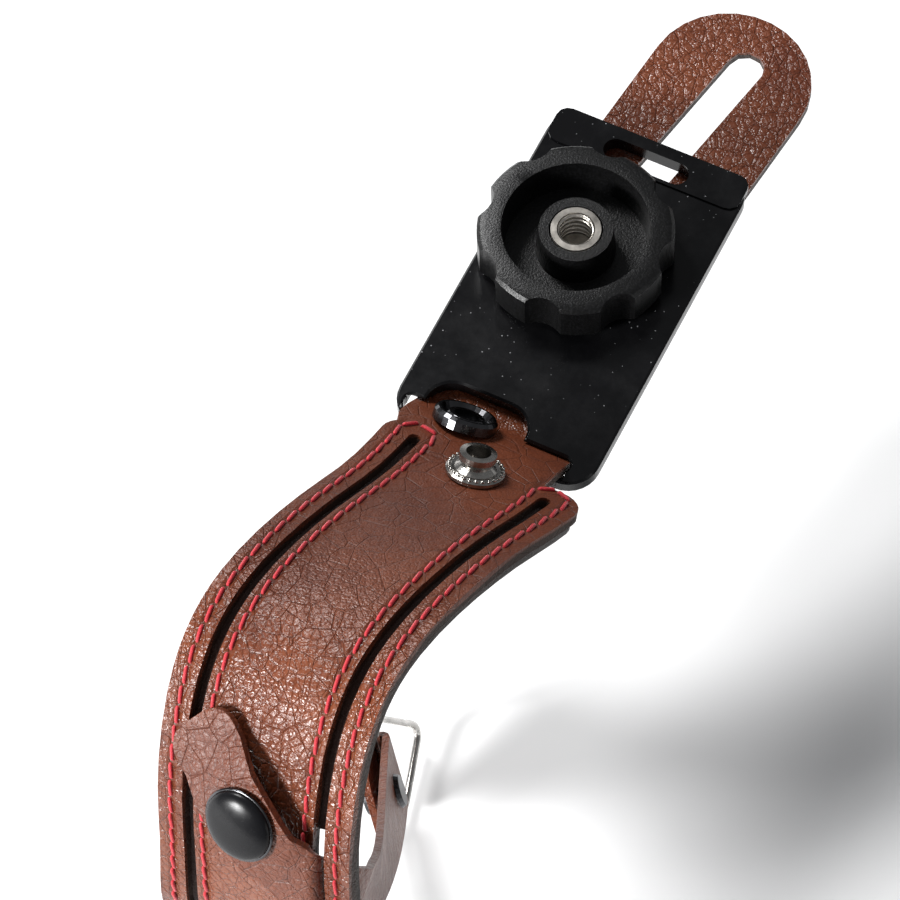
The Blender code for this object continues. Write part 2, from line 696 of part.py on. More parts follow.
def build_wheel():
    top, low = WHEEL_TOP, WHEEL_BOTTOM
    bore = INSERT_RADIUS + GAP
    floor = low + CUP_FLOOR
    profile = [(CUP_RADIUS, top), (WHEEL_RING, top), (WHEEL_RADIUS - 0.0006, top - 0.0003),
               (WHEEL_RADIUS, top - 0.0010), (WHEEL_RADIUS, low + 0.0006), (WHEEL_RADIUS - 0.0006, low),
               (bore, low), (bore, top - HUB_DROP), (HUB_RADIUS, top - HUB_DROP),
               (HUB_RADIUS + 0.0005, floor), (CUP_RADIUS - 0.0005, floor)]
    axis = Matrix.Translation((WHEEL_X, WHEEL_Y, 0))
    wheel = turned("thumb_wheel", profile, WHEEL_METAL, 64, axis)
    shape = bmesh.new()
    centre = WHEEL_RADIUS - SCALLOP_DEPTH + SCALLOP_RADIUS
    for i in range(WHEEL_LOBES):
        turn = 2 * pi * (i + 0.5) / WHEEL_LOBES + WHEEL_TURN
        place = Matrix.Translation((centre * cos(turn), centre * sin(turn), (top + low) / 2))
        bmesh.ops.create_cone(shape, cap_ends=True, segments=24, radius1=SCALLOP_RADIUS,
                              radius2=SCALLOP_RADIUS, depth=WHEEL_HEIGHT * 2, matrix=place)
    mesh = bpy.data.meshes.new("scallops")
    shape.to_mesh(mesh)
    shape.free()
    scallops = add_object("scallops", mesh, None, CUTTERS)
    scallops.matrix_world = axis
    cut(wheel, scallops)
    head_low = low + GAP
    shank = SCREW_RADIUS
    groove_top = PLATE_BOTTOM + CLIP_THICKNESS + GAP * 1.6
    groove_low = PLATE_BOTTOM + GAP * 0.4 - 0.0001
    head_top = head_low + SCREW_HEAD_HEIGHT
    turned("camera_screw", [(0, head_top), (INSERT_RADIUS, head_top), (INSERT_RADIUS, head_low),
                            (shank, head_low), (shank, groove_top), (shank - 0.0005, groove_top),
                            (shank - 0.0005, groove_low), (shank, groove_low),
                            (shank, 0.0006 - SCREW_REACH), (shank - 0.0006, -SCREW_REACH),
                            (0, -SCREW_REACH)], NICKEL, 32, axis)
    insert_low = head_top + GAP
    insert_top = insert_low + INSERT_HEIGHT
    turned("tripod_insert", [(INSERT_BORE, insert_top - 0.0004), (INSERT_BORE + 0.0004, insert_top),
                             (INSERT_RADIUS, insert_top), (INSERT_RADIUS, insert_low),
                             (INSERT_BORE, insert_low)], NICKEL, 32, axis)
    clip_low = PLATE_BOTTOM + GAP * 0.7
    ring = arc(0, 0, CLIP_RADIUS - 0.0001, 25, 335, 20)
    ring += arc(0, 0, shank - 0.0005 + GAP, 335, 25, 20)
    clip = add_object("screw_clip", slab([ring], clip_low, clip_low + CLIP_THICKNESS), DARK_NICKEL)
    clip.matrix_world = axis


def build_snaps():
    """Snap fasteners: an open stud, a socket by the plate, and the cap on the belt's tab."""
    half = TONGUE_THICKNESS / 2
    back = -half - GAP - LINING_THICKNESS

    def rivet(name, place, bottom, top):
        turned(name, [(0, top), (RIVET_SHANK, top), (RIVET_SHANK, bottom - GAP),
                      (RIVET_RADIUS, bottom - GAP), (RIVET_RADIUS - 0.0004, bottom - GAP - 0.0007),
                      (0, bottom - GAP - 0.0009)], DARK_NICKEL, 20, place)

    stud = panel_place(STUD_S, 0, 0)
    low = half + GAP
    turned("near_stud", [(POST_RADIUS - 0.0011, low + STUD_HEIGHT), (POST_RADIUS, low + STUD_HEIGHT - 0.0002),
                         (POST_RADIUS, low + STUD_HEIGHT - 0.0013), (POST_RADIUS - 0.0005, low + 0.0017),
                         (POST_RADIUS + 0.0004, low + 0.0010), (STUD_RADIUS - 0.0009, low + 0.0011),
                         (STUD_RADIUS, low + 0.0006), (STUD_RADIUS, low), (RIVET_HOLE, low),
                         (RIVET_HOLE, low + 0.0012), (POST_RADIUS - 0.0014, low + 0.0016)],
           DARK_NICKEL, 28, stud)
    rivet("near_stud_rivet", stud, back, low + 0.0010)

    socket = panel_place(SOCKET_S, SOCKET_W, 0)
    lip = low + SOCKET_HEIGHT
    turned("tongue_socket", [(SOCKET_BORE, low + 0.0018), (SOCKET_BORE + 0.0010, low + 0.0018),
                             (SOCKET_DISH, low + 0.0010), (SOCKET_DISH + 0.0008, lip),
                             (SOCKET_RADIUS - 0.0005, lip), (SOCKET_RADIUS, lip - 0.0006),
                             (SOCKET_RADIUS, low), (RIVET_SHANK, low), (RIVET_SHANK, -half), (0, -half),
                             (0, low + 0.0006), (SOCKET_BORE, low + 0.0006)], DARK_NICKEL, 28, socket)

    tab = panel_place(TAB_S, TAB_W, 0)
    stud_low = half + GAP * 1.5
    belt_low = BELT_HEIGHT + TAB_RISE - BELT_THICKNESS / 2
    belt_top = belt_low + BELT_THICKNESS
    turned("tab_stud", [(RIVET_HOLE, stud_low + 0.0013), (RIVET_SHANK + 0.0011, stud_low + 0.0013),
                        (RIVET_SHANK + 0.0011, stud_low + 0.0007), (STUD_RADIUS - 0.0014, stud_low + 0.0006),
                        (STUD_RADIUS - 0.0012, stud_low), (RIVET_HOLE, stud_low)], DARK_NICKEL, 24, tab)
    rivet("tab_stud_rivet", tab, back - GAP, stud_low + 0.0010)
    socket_low = stud_low + 0.0009
    bore, rim = RIVET_SHANK + 0.0011 + GAP, STUD_RADIUS - 0.0014
    turned("tab_socket", [(bore, belt_low - GAP), (rim, belt_low - GAP), (rim, socket_low),
                          (bore, socket_low)], DARK_NICKEL, 24, tab)
    cap_low = belt_top + GAP
    dome = [(CAP_RADIUS * sin(a), cap_low + 0.0007 + (CAP_HEIGHT - 0.0007) * cos(a))
            for a in np.linspace(0, pi / 2, 8)]
    dome[0] = (0, dome[0][1])
    turned("tab_cap", dome + [(CAP_RADIUS, cap_low), (RIVET_SHANK, cap_low),
                              (RIVET_SHANK, belt_low - 0.0002), (0, belt_low - 0.0002)],
           WHEEL_METAL, 32, tab)


def build_ring():
    """Triangular wire ring with rounded corners, its base along the belt's fold."""
    base = unit(np.array(RING_BASE))
    centre = np.array(RING_CENTRE)
    lug = np.array(RING_LUG)
    lug = unit(lug - np.dot(lug, base) * base)
    corners = [(-RING_WIDTH / 2, 0), (RING_WIDTH / 2, 0), (0, RING_DEPTH)]
    radius = RING_BEND
    points = []
    for i, corner in enumerate(corners):
        before, after = np.array(corners[i - 1]), np.array(corners[(i + 1) % 3])
        here = np.array(corner)
        a, b = unit(before - here), unit(after - here)
        half_angle = np.arccos(np.dot(a, b)) / 2
        middle = here + unit(a + b) * radius / sin(half_angle)
        start = here + a * radius / np.tan(half_angle) - middle
        turn0 = atan2(start[1], start[0])
        sweep = pi - 2 * half_angle
        points += [middle + radius * np.array([cos(turn0 + sweep * k / 5), sin(turn0 + sweep * k / 5)])
                   for k in range(6)]
    curve = bpy.data.curves.new("lug_ring", "CURVE")
    curve.dimensions = "3D"
    curve.bevel_depth = RING_WIRE
    curve.bevel_resolution = 2
    spline = curve.splines.new("POLY")
    spline.points.add(len(points) - 1)
    for point, (x, y) in zip(spline.points, points):
        point.co = (*(base * x + lug * y), 1)
    spline.use_cyclic_u = True
    item = bpy.data.objects.new("lug_ring", curve)
    PARTS.objects.link(item)
    item.location = centre
    bpy.context.view_layer.update()
    curve.materials.append(NICKEL)
    return item


# Stitching

def stitch_path(side):
    """Stitch row round one slot: along one side, round the slot's start and back along the other."""
    inner, outer = side * STITCH_INNER, side * STITCH_OUTER
    radius = (STITCH_OUTER - STITCH_INNER) / 2
    start = slot_start(side) + 0.0005
    last = PANEL_END - STITCH_END_MARGIN
    stops = bend_stations(start, last)
    turns = np.linspace(0, pi, 9)
    path = [(s, inner) for s in reversed(stops)]
    path += [(start - radius * sin(a), side * (STITCH_INNER + radius - radius * cos(a))) for a in turns]
    path += [(s, outer) for s in stops if s < last - PANEL_END_RADIUS / 2]
    return path


def build_stitches(name, side):
    """One continuous thread on the face of the panel."""
    height = TONGUE_THICKNESS / 2 + STITCH_GAP + STITCH_RADIUS
    curve = bpy.data.curves.new(name, "CURVE")
    curve.dimensions = "3D"
    curve.bevel_depth = STITCH_RADIUS
    curve.bevel_resolution = 1
    curve.use_fill_caps = True
    path = stitch_path(side)
    spline = curve.splines.new("POLY")
    spline.points.add(len(path) - 1)
    for point, (s, w) in zip(spline.points, path):
        point.co = (*SPINE.place(s, w, height), 1)
    item = bpy.data.objects.new(name, curve)
    PARTS.objects.link(item)
    curve.materials.append(THREAD)
    return item


build_plate()
build_wheel()
build_leather()
build_lining()
build_belt()
build_belt_rivet()
build_snaps()
build_ring()
build_stitches("left_stitching", -1)
build_stitches("right_stitching", 1)
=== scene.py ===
# %% [markdown]
# # Looks of a camera hand grip strap
# The solids of the strap come in as a fixed frame. This script gives each surface its finish, rounds
# the leather's edges, and adds what is too fine for the solids: single stitches, beads and threads.

# %% Load the frame
from math import atan2, cos, pi, radians, sin

import bpy
import numpy as np
from mathutils import Matrix, Vector


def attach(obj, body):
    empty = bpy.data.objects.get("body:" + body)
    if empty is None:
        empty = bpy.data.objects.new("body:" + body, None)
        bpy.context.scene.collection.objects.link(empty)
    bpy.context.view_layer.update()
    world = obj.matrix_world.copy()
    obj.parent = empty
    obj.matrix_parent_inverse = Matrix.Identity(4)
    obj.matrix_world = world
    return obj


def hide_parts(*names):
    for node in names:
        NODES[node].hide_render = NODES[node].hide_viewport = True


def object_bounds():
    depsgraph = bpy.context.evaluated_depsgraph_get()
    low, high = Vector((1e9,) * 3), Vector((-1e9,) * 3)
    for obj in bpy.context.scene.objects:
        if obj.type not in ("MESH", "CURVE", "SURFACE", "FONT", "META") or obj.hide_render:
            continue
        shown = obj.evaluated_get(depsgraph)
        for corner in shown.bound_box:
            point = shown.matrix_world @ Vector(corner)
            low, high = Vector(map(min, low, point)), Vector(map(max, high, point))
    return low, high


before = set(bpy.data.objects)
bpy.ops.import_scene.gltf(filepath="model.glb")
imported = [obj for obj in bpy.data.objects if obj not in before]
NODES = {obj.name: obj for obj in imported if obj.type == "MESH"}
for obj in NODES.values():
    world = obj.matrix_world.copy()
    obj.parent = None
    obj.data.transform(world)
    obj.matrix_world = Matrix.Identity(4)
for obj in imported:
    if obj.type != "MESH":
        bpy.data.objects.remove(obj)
CAD_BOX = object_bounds()
MM = 0.001
print("loaded", len(NODES), "pieces")

# %% [markdown]
# ## Camera
# A long lens far away keeps the plate's edges nearly parallel, as on a catalogue picture. The camera
# stands at an azimuth and an elevation round the strap, turned slightly about its own axis.

# %% Camera
AZIMUTH, ELEVATION, ROLL = radians(118.24), radians(60.27), radians(-2.35)
DISTANCE = 1.0
FOCAL_MM = 226
AIM = Vector((0, 0, 0.0023))
SIDE_STEP, UP_STEP = -0.02167, -0.0260

back = Vector((sin(AZIMUTH) * cos(ELEVATION), -cos(AZIMUTH) * cos(ELEVATION), sin(ELEVATION)))
level_right = Vector((cos(AZIMUTH), sin(AZIMUTH), 0))
level_up = back.cross(level_right)
right = cos(ROLL) * level_right + sin(ROLL) * level_up
up = -sin(ROLL) * level_right + cos(ROLL) * level_up
camera_data = bpy.data.cameras.new("camera")
camera_data.lens = FOCAL_MM
camera_data.sensor_width = 36
camera = bpy.data.objects.new("camera", camera_data)
bpy.context.scene.collection.objects.link(camera)
stand = AIM + DISTANCE * back + SIDE_STEP * right + UP_STEP * up
camera.matrix_world = Matrix((right, up, back)).transposed().to_4x4()
camera.location = stand
bpy.context.scene.camera = camera
print("camera stands at", [round(v, 3) for v in stand])

# %% [markdown]
# ## Floor and light
# A pale floor lies just under the ring. The key lamp stands low on the left and draws the shadow of the
# tab, a second lamp behind gives leather and metal their bright edges, a weak one on the right and the
# world fill the rest.

# %% Floor and lamps
FLOOR_Z = CAD_BOX[0][2] - 0.002
bpy.ops.mesh.primitive_plane_add(size=6, location=(0, 0, FLOOR_Z))
floor = bpy.context.object
floor.name = "floor"


def lamp(name, toward, distance, size, watts):
    """Square soft lamp that looks at the strap from a direction."""
    data = bpy.data.lights.new(name, "AREA")
    data.size = size
    data.energy = watts
    item = bpy.data.objects.new(name, data)
    bpy.context.scene.collection.objects.link(item)
    toward = Vector(toward).normalized()
    item.location = Vector((0.04, 0, 0)) + toward * distance
    item.rotation_euler = toward.to_track_quat("Z", "Y").to_euler()
    return item


lamp("key", -right * 1.0 + back * 0.62 - up * 0.30, 0.9, 0.20, 13)
lamp("strip", -right * 0.45 + back * 0.35 + up * 0.9, 0.9, 0.26, 7)
lamp("fill", right * 1.0 + back * 0.5 - up * 0.5, 1.0, 0.5, 0.8)
world = bpy.data.worlds.new("studio")
world.use_nodes = True
world.node_tree.nodes["Background"].inputs["Color"].default_value = (0.9, 0.92, 0.95, 1)
world.node_tree.nodes["Background"].inputs["Strength"].default_value = 0.22
bpy.context.scene.world = world
bpy.context.scene.view_settings.view_transform = "Standard"
print("floor at", round(FLOOR_Z, 4))

# %% [markdown]
# ## Shader maths
# A socket wrapped in a small class lets a pattern be written as a formula: each operator adds a
# Math node. One method makes every other node.

# %% Shader helper


class Value:
    """Wraps a socket so that formulas add Math nodes."""

    def __init__(self, paint, socket):
        self.paint, self.socket = paint, socket

    def _math(self, operation, *others):
        return self.paint.node("ShaderNodeMath", {"operation": operation}, self, *others)

    def __add__(self, other):
        return self._math("ADD", other)

    def __sub__(self, other):
        return self._math("SUBTRACT", other)

    def __mul__(self, other):
        return self._math("MULTIPLY", other)

    def __rsub__(self, other):
        return self._math("MULTIPLY", -1)._math("ADD", other)

    def absolute(self):
        return self._math("ABSOLUTE")

    def sine(self):
        return self._math("SINE")

    def ramp(self, low, high):
        """0 below low, 1 above high, with a straight slope between."""
        settings = {"clamp": True}
        return self.paint.node("ShaderNodeMapRange", settings, self, low, high, 0.0, 1.0)

    def near(self, centre, width):
        """1 at the centre, falling to 0 at the width on both sides."""
        return 1 - (self - centre).absolute().ramp(0.0, width)

    __radd__ = __add__
    __rmul__ = __mul__


class Paint:
    """A material and the nodes that it is made of."""

    def __init__(self, name, colour, roughness, metallic=0.0):
        self.material = bpy.data.materials.new(name)
        self.material.use_nodes = True
        self.tree = self.material.node_tree
        self.shader = self.tree.nodes["Principled BSDF"]
        self.shader.inputs["Base Color"].default_value = (*colour, 1)
        self.shader.inputs["Roughness"].default_value = roughness
        self.shader.inputs["Metallic"].default_value = metallic
        self.place = self.node("ShaderNodeTexCoord", {}, output="Object")

    def node(self, kind, settings, *values, output=0, **named):
        made = self.tree.nodes.new(kind)
        for key, setting in settings.items():
            setattr(made, key, setting)
        entries = list(enumerate(values)) + list(named.items())
        for key, value in entries:
            socket = made.inputs[key if isinstance(key, int) else key.replace("_", " ")]
            if isinstance(value, Value):
                self.tree.links.new(value.socket, socket)
            else:
                socket.default_value = value
        return Value(self, made.outputs[output])

    def noise(self, scale, detail=3.0, roughness=0.5):
        return self.node("ShaderNodeTexNoise", {}, Vector=self.place, Scale=scale, Detail=detail,
                         Roughness=roughness)

    def cells(self, scale, feature="DISTANCE_TO_EDGE"):
        return self.node("ShaderNodeTexVoronoi", {"feature": feature}, Vector=self.place, Scale=scale)

    def attribute(self, name):
        return self.node("ShaderNodeAttribute", {"attribute_name": name}, output="Fac")

    def mix(self, factor, first, second):
        made = self.tree.nodes.new("ShaderNodeMix")
        made.data_type = "RGBA"
        self.tree.links.new(factor.socket, made.inputs[0])
        for index, value in ((6, first), (7, second)):
            if isinstance(value, Value):
                self.tree.links.new(value.socket, made.inputs[index])
            else:
                made.inputs[index].default_value = (*value, 1)
        return Value(self, made.outputs[2])

    def set(self, name, value):
        self.tree.links.new(value.socket, self.shader.inputs[name])

    def bump(self, height, distance):
        made = self.node("ShaderNodeBump", {}, Strength=1.0, Distance=distance, Height=height)
        self.set("Normal", made)


print("shader helper ready")

# %% [markdown]
# ## Where things lie on the leather
# The strap is one sheet bent about a smooth line. The same line gives every vertex its distance along
# and across the leather, so that seams, worn edges and stitches follow the sheet and not the world.

# %% The bent line of the strap
BEND_START, RISE_START, RISE_SLOPE = -9.79, -6.65, 45.0
SLOPES = ((-1, 45), (3, 33), (12, 30.5), (25, 30.8), (40, 25.8), (60, 7.8), (80, -41),
          (100, -63.6), (120, -82), (130, -97), (140, -119), (150, -140), (160, -152), (176, -160))
HEADINGS = ((-110, -6.5), (-60, -6.5), (-15, 0), (0, 0), (30, -4.8), (112, -4.8), (140, 4), (200, 4))
TILTS = ((-110, 0), (0, 0), (30, 12.4), (104, 12.4), (140, -2), (200, -2))
RISE_TOP = (0.0345, 0.0032, 0.0069)
STATION = 0.5
LEATHER_HALF = 1.0 * MM
LINING_BACK = 2.9 * MM


def unit(v):
    return v / np.linalg.norm(v, axis=-1, keepdims=True)


def between(knots, x):
    """Interval of each x in a table of knots, and how far along it x lies."""
    table = np.array(knots, float)
    i = np.clip(np.searchsorted(table[:, 0], x) - 1, 0, len(table) - 2)
    width = table[i + 1, 0] - table[i, 0]
    return table, i, width, np.clip((x - table[i, 0]) / width, 0, 1)


def smooth_curve(knots, x):
    table, i, width, t = between(knots, x)
    lean = np.gradient(table[:, 1], table[:, 0])
    start = (2 * t**3 - 3 * t**2 + 1) * table[i, 1] + (t**3 - 2 * t**2 + t) * width * lean[i]
    return start + (3 * t**2 - 2 * t**3) * table[i + 1, 1] + (t**3 - t**2) * width * lean[i + 1]


def eased(knots, x):
    table, i, _, t = between(knots, x)
    return table[i, 1] + (table[i + 1, 1] - table[i, 1]) * t * t * (3 - 2 * t)


run_mm = np.arange(-108, 176, STATION)
slope = np.where(run_mm < BEND_START, 0.0, smooth_curve(SLOPES, run_mm))
in_bend = (run_mm >= BEND_START) & (run_mm < RISE_START)
slope[in_bend] = RISE_SLOPE * (run_mm[in_bend] - BEND_START) / (RISE_START - BEND_START)
slope[(run_mm >= RISE_START) & (run_mm < SLOPES[0][0])] = RISE_SLOPE
slope, heading, tilt = (np.radians(v) for v in (slope, eased(HEADINGS, run_mm), eased(TILTS, run_mm)))
across = np.stack([-np.sin(heading) * np.cos(tilt), np.cos(heading) * np.cos(tilt), np.sin(tilt)], 1)
flat = unit(np.array([1.0, 0, 0]) - across[:, :1] * across)
along = np.cos(slope)[:, None] * flat + np.sin(slope)[:, None] * np.cross(flat, across)
outward = np.cross(along, across)
middle = np.zeros_like(along)
middle[1:] = np.cumsum((along[1:] + along[:-1]) / 2 * STATION * MM, 0)
middle += np.array(RISE_TOP) - middle[np.argmin(abs(run_mm))]


def sheet_place(s, w, h):
    """Matrix at s along, w across and h above the leather's middle, its Z axis standing out of it."""
    read = [np.array([np.interp(s / MM, run_mm, rows[:, k]) for k in range(3)])
            for rows in (middle, along, across, outward)]
    spot = read[0] + w * read[2] + h * unit(read[3])
    ahead, out = unit(read[1]), unit(read[3])
    side = np.cross(out, ahead)
    return Matrix([[ahead[k], side[k], out[k], spot[k]] for k in range(3)] + [[0, 0, 0, 1]])


print("strap line from", middle[0].round(3), "to", middle[-1].round(3))

# %% [markdown]
# ## Pieces made from the solids
# Leather has soft edges. Its solid is copied, its loose triangles are merged, and a narrow bevel
# rounds every cut edge. Two attributes then hold each vertex's place on the sheet.

# %% Copy, round and mark a piece


def only(item):
    bpy.ops.object.select_all(action="DESELECT")
    item.select_set(True)
    bpy.context.view_layer.objects.active = item


def softened(node, name, body, edge, segments=2, angle=35):
    """Merged copy of a solid with rounded edges, standing for that solid."""
    piece = NODES[node].copy()
    piece.data = NODES[node].data.copy()
    piece.name = piece.data.name = name
    piece.parent = None
    bpy.context.scene.collection.objects.link(piece)
    only(piece)
    bpy.ops.object.mode_set(mode="EDIT")
    bpy.ops.mesh.select_all(action="SELECT")
    bpy.ops.mesh.remove_doubles(threshold=1e-6)
    bpy.ops.mesh.dissolve_limited(angle_limit=radians(0.3))
    bpy.ops.object.mode_set(mode="OBJECT")
    bpy.ops.object.shade_smooth_by_angle(angle=radians(40))
    bevel = piece.modifiers.new("edge", "BEVEL")
    bevel.width = edge
    bevel.segments = segments
    bevel.limit_method = "ANGLE"
    bevel.angle_limit = radians(angle)
    bevel.harden_normals = True
    bpy.ops.object.modifier_apply(modifier="edge")
    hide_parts(node)
    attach(piece, body)
    return piece


def mark_sheet(piece, last=151):
    """Stores along, across and height on the leather for every vertex, in millimetres."""
    points = np.array([v.co for v in piece.data.vertices])
    use = np.where(run_mm <= last)[0]
    offset = points[:, None, :] - middle[use][None, :, :]
    gap = abs(np.einsum("nsk,sk->ns", offset, along[use]))
    far = np.linalg.norm(offset, axis=2)
    best = use[np.argmin(gap * 4 + far, axis=1)]
    rest = points - middle[best]
    values = {"along": run_mm[best], "across": np.einsum("nk,nk->n", rest, across[best]) / MM,
              "height": np.einsum("nk,nk->n", rest, outward[best]) / MM}
    for name, numbers in values.items():
        layer = piece.data.attributes.new(name, "FLOAT", "POINT")
        layer.data.foreach_set("value", numbers.astype(np.float32))


leather = softened("outer_leather", "hand_panel", "strap", 0.35 * MM)
lining = softened("inner_lining", "suede_lining", "strap", 0.4 * MM)
belt = softened("belt_strap", "ring_belt", "strap", 0.3 * MM)
mark_sheet(leather)
mark_sheet(lining)
print("leather has", len(leather.data.polygons), "faces")

# %% [markdown]
# ## Leather
# Grain is a net of small cells whose edges sink in, with thin creases across them. The neck is smooth;
# the tongue and the lower panel are coarser, glossier and rubbed paler. Under each thread the leather
# is pulled down, and painted shade darkens that dent. The cut edges are dark. Voronoi cells are used
# because real grain has edges that meet in threes, which noise alone doesn't give.

# %% Leather finish
BROWN = (0.175, 0.043, 0.015)
DEEP_BROWN = (0.060, 0.013, 0.006)
RUBBED_BROWN = (0.215, 0.078, 0.042)
CUT_EDGE = (0.035, 0.018, 0.012)
THREAD_ROWS = (10.4, 16.8)
DENT_WIDTH = 1.1
NECK_FROM, NECK_TO = (-9.0, -6.0), (34.0, 70.0)
GRAIN, CREASE, PORE, FINE = 620.0, 230.0, 1500.0, 2400.0


def leather_paint(name, on_sheet):
    """Grained leather: coarse pebbles on tongue and lower panel, fine grain on the neck."""
    paint = Paint(name, BROWN, 0.45)
    warp = paint.noise(230.0, 3.0)
    pebble = 1 - paint.cells(GRAIN, "SMOOTH_F1")
    net = paint.cells(GRAIN).ramp(0.0, 0.14)
    fine = paint.noise(FINE, 4.0, 0.6)
    pores = paint.cells(PORE).ramp(0.0, 0.35)
    patches = paint.noise(45.0, 4.0, 0.6).ramp(0.38, 0.68)
    creases = paint.cells(CREASE).ramp(0.0, 0.03)
    tone = (net * 0.15 + creases * 0.15 + fine * 0.35 + patches * 0.35).ramp(0.1, 0.9)
    colour = paint.mix(tone, DEEP_BROWN, BROWN)
    coarse = pebble * 0.9 + net * 0.45
    smooth = pores * 0.2 + fine * 0.2 + creases * 0.45
    if on_sheet:
        across_mm = paint.attribute("across").absolute()
        along_mm = paint.attribute("along")
        level = paint.attribute("height")
        worn = 1 - along_mm.ramp(*NECK_FROM) * (1 - along_mm.ramp(*NECK_TO))
        height = coarse * (worn * 0.62 + 0.06) + smooth + warp * 1.2
        rough = 0.50 - worn * (patches * 0.08 + 0.20)
        rubbed = patches * net * worn * 0.45
        rows = across_mm.near(THREAD_ROWS[0], DENT_WIDTH) + across_mm.near(THREAD_ROWS[1], DENT_WIDTH)
        rows = rows * along_mm.ramp(4.0, 7.0)
        colour = paint.mix(rubbed.ramp(0.0, 1.0), colour, RUBBED_BROWN)
        # Painted shade: along the thread rows the colour is darkened toward deep brown, standing for
        # shade in the dents
        colour = paint.mix(rows * 0.45, colour, DEEP_BROWN)
        height = height + rows * -1.3
        edge = 1 - (level.near(1.0, 0.75)).ramp(0.0, 0.6)
        colour = paint.mix(edge, colour, CUT_EDGE)
        rough = rough + edge * 0.25
    else:
        height = coarse * 0.6 + smooth + warp * 1.2
        rough = 0.44 - patches * 0.12
        colour = paint.mix((patches * net * 0.3).ramp(0.0, 1.0), colour, RUBBED_BROWN)
    paint.set("Base Color", colour)
    paint.set("Roughness", rough.ramp(0.0, 1.0))
    paint.bump(height, 0.00026)
    paint.shader.inputs["Specular IOR Level"].default_value = 0.42
    return paint.material


def give(piece, material):
    piece.data.materials.clear()
    piece.data.materials.append(material)


give(leather, leather_paint("grained_leather", True))
give(belt, leather_paint("belt_leather", False))

# %% [markdown]
# ## Suede
# The lining is dark and without gloss. Fine noise drives both its colour and its nap, and sheen gives
# the pale fringe that short fibres have at a glancing angle. The side that faces the leather stays brown.

# %% Suede finish
suede = Paint("suede", (0.045, 0.036, 0.031), 0.95)
nap = suede.noise(1500.0, 5.0, 0.7)
facing = suede.attribute("height").ramp(-1.45, -1.3)
suede.set("Base Color", suede.mix(facing, suede.mix(nap.ramp(0.3, 0.75), (0.016, 0.012, 0.01),
                                                    (0.075, 0.058, 0.048)), (0.05, 0.02, 0.013)))
suede.bump(nap, 0.0003)
suede.shader.inputs["Sheen Weight"].default_value = 0.35
suede.shader.inputs["Sheen Roughness"].default_value = 0.5
give(lining, suede.material)
print("leather and suede are painted")

# %% [markdown]
# ## Stitches
# One stitch is a short thread whose ends dive into the leather. It is modelled once from a cylinder,
# by extruding and shrinking its two caps, and then copied along the rows.

# %% One stitch
STITCH_PITCH = 3.5 * MM
STITCH_BODY = 2.1 * MM
STITCH_END = 0.62 * MM
THREAD_RADIUS = 0.37 * MM


def one_stitch():
    bpy.ops.object.select_all(action="DESELECT")
    bpy.ops.mesh.primitive_cylinder_add(vertices=8, radius=THREAD_RADIUS, depth=STITCH_BODY,
                                        rotation=(0, pi / 2, 0))
    item = bpy.context.object
    bpy.ops.object.transform_apply(location=False, rotation=True, scale=True)
    for side in (-1, 1):
        for step, (reach, drop, shrink) in enumerate(((0.6, 0.10, 0.86), (0.4, 0.28, 0.55))):
            bpy.ops.object.mode_set(mode="EDIT")
            bpy.ops.mesh.select_mode(type="FACE")
            bpy.ops.mesh.select_all(action="DESELECT")
            bpy.ops.object.mode_set(mode="OBJECT")
            cap = max(item.data.polygons, key=lambda f: side * f.center.x)
            cap.select = True
            centre = cap.center.copy()
            bpy.ops.object.mode_set(mode="EDIT")
            move = (side * reach * STITCH_END, 0, -drop * MM)
            bpy.ops.mesh.extrude_region_move(TRANSFORM_OT_translate={"value": move})
            bpy.ops.transform.resize(value=(1, shrink, shrink),
                                     center_override=centre + Vector(move))
            bpy.ops.object.mode_set(mode="OBJECT")
    bpy.ops.object.shade_smooth()
    return item


def copies(master, places, name):
    """One object made of a copy of the master at each place."""
    made = []
    for place in places:
        item = master.copy()
        item.data = master.data.copy()
        bpy.context.scene.collection.objects.link(item)
        item.matrix_world = place
        made.append(item)
    bpy.ops.object.select_all(action="DESELECT")
    for item in made:
        item.select_set(True)
    bpy.context.view_layer.objects.active = made[0]
    bpy.ops.object.join()
    joined = bpy.context.object
    bpy.ops.object.transform_apply(location=True, rotation=True, scale=True)
    joined.name = joined.data.name = name
    return joined


# %% [markdown]
# ## Rows of stitches
# Each row runs down one side of a slot, round its start and back up the other side. The stitches keep
# an even pitch along that path and lean a little, as a lockstitch does. The right row starts later.

# %% Stitch rows
SLOT_START, RIGHT_LAG, PANEL_END = 8.0 * MM, 3.0 * MM, 150.0 * MM
TAB_S, TAB_W = 97.5 * MM, 0.8 * MM


def row_path(side):
    """Places (s, w) down the inner side of a slot, round its start and back up the outer side."""
    radius = (THREAD_ROWS[1] - THREAD_ROWS[0]) / 2 * MM
    start = SLOT_START + 0.5 * MM + (RIGHT_LAG if side > 0 else 0)
    last = PANEL_END - 7 * MM
    inner = [(s, side * THREAD_ROWS[0] * MM) for s in np.arange(last, start, -0.5 * MM)]
    turn = [(start - radius * sin(a), side * (THREAD_ROWS[0] * MM + radius - radius * cos(a)))
            for a in np.linspace(0, pi, 30)]
    outer = [(s, side * THREAD_ROWS[1] * MM) for s in np.arange(start, last - 7.5 * MM, 0.5 * MM)]
    return np.array(inner + turn + outer)


def row_places(side, height, slant):
    path = row_path(side)
    runs = np.concatenate([[0], np.cumsum(np.hypot(*np.diff(path, axis=0).T))])
    places = []
    for run in np.arange(STITCH_PITCH / 2, runs[-1], STITCH_PITCH):
        s, w = (np.interp(run, runs, path[:, k]) for k in (0, 1))
        s2, w2 = (np.interp(run + 0.3 * MM, runs, path[:, k]) for k in (0, 1))
        turn = atan2(w2 - w, s2 - s) + radians(slant)
        flip = Matrix.Rotation(pi, 4, "X") if height < 0 else Matrix()
        places.append(sheet_place(s, w, height) @ Matrix.Rotation(turn, 4, "Z") @ flip)
    return places


